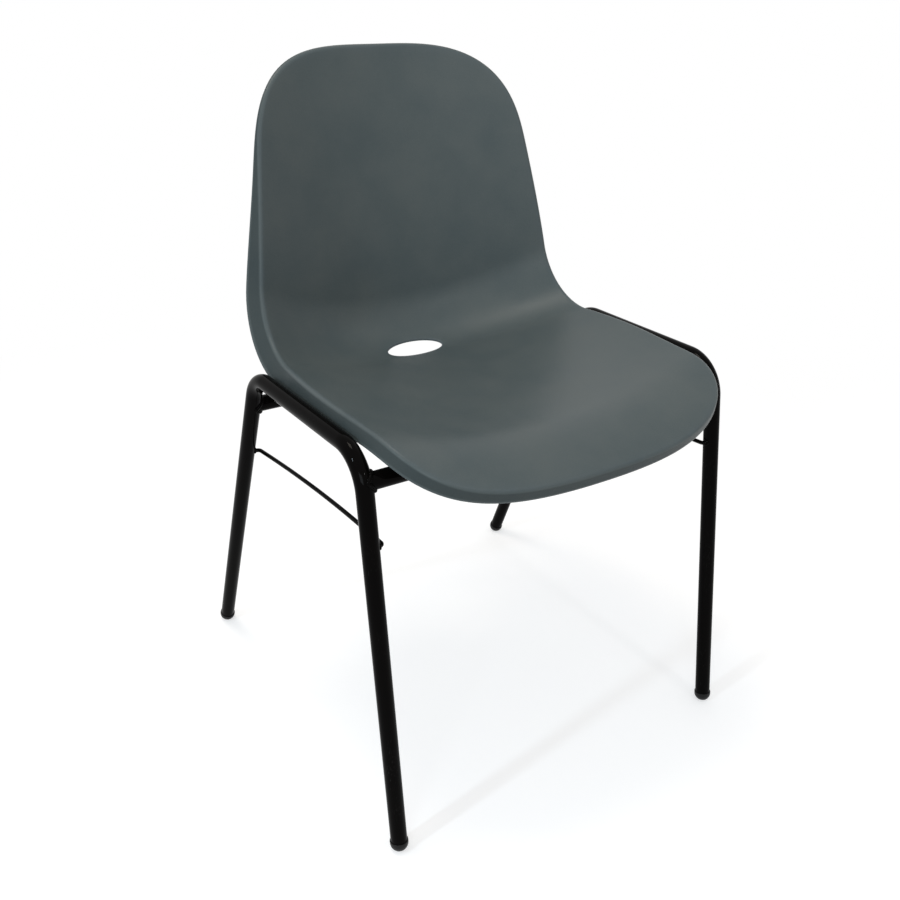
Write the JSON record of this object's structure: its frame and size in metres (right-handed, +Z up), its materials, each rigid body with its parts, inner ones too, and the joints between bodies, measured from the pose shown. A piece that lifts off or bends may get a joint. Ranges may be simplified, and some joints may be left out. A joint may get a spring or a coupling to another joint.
{
  "type": "stacking chair",
  "caption": "Stacking chair: a moulded shell seat and back with a hand hole, on a bent tube frame with splayed legs, side wires and round foot caps.",
  "frame": {"origin": "on the floor, under the middle of the chair's bounding box", "axes": "+Z up, -Y the way the sitter faces, +X the sitter's left"},
  "size_m": [0.5146, 0.5419, 0.7989],
  "materials": {
    "shell": "finely grained, satin",
    "frame": "glossy black powder coat",
    "foot_cap": "smooth satin",
    "screw": "zinc plated, dull",
    "washer": "smooth satin"
  },
  "bodies": {
    "root": {"seat_shell": "shell", "side_frame_left": "frame", "side_wire_left": "frame", "side_frame_right": "frame", "side_wire_right": "frame", "cross_tube_front": "frame", "cross_weld_front_left": "frame", "wire_weld_front_left": "frame", "foot_cap_front_left": "foot_cap", "saddle_washer_front_left": "washer", "shell_screw_front_left": "screw", "cross_weld_front_right": "frame", "wire_weld_front_right": "frame", "foot_cap_front_right": "foot_cap", "saddle_washer_front_right": "washer", "shell_screw_front_right": "screw", "cross_tube_rear": "frame", "cross_weld_rear_left": "frame", "wire_weld_rear_left": "frame", "foot_cap_rear_left": "foot_cap", "saddle_washer_rear_left": "washer", "shell_screw_rear_left": "screw", "cross_weld_rear_right": "frame", "wire_weld_rear_right": "frame", "foot_cap_rear_right": "foot_cap", "saddle_washer_rear_right": "washer", "shell_screw_rear_right": "screw"}
  },
  "joints": []
}
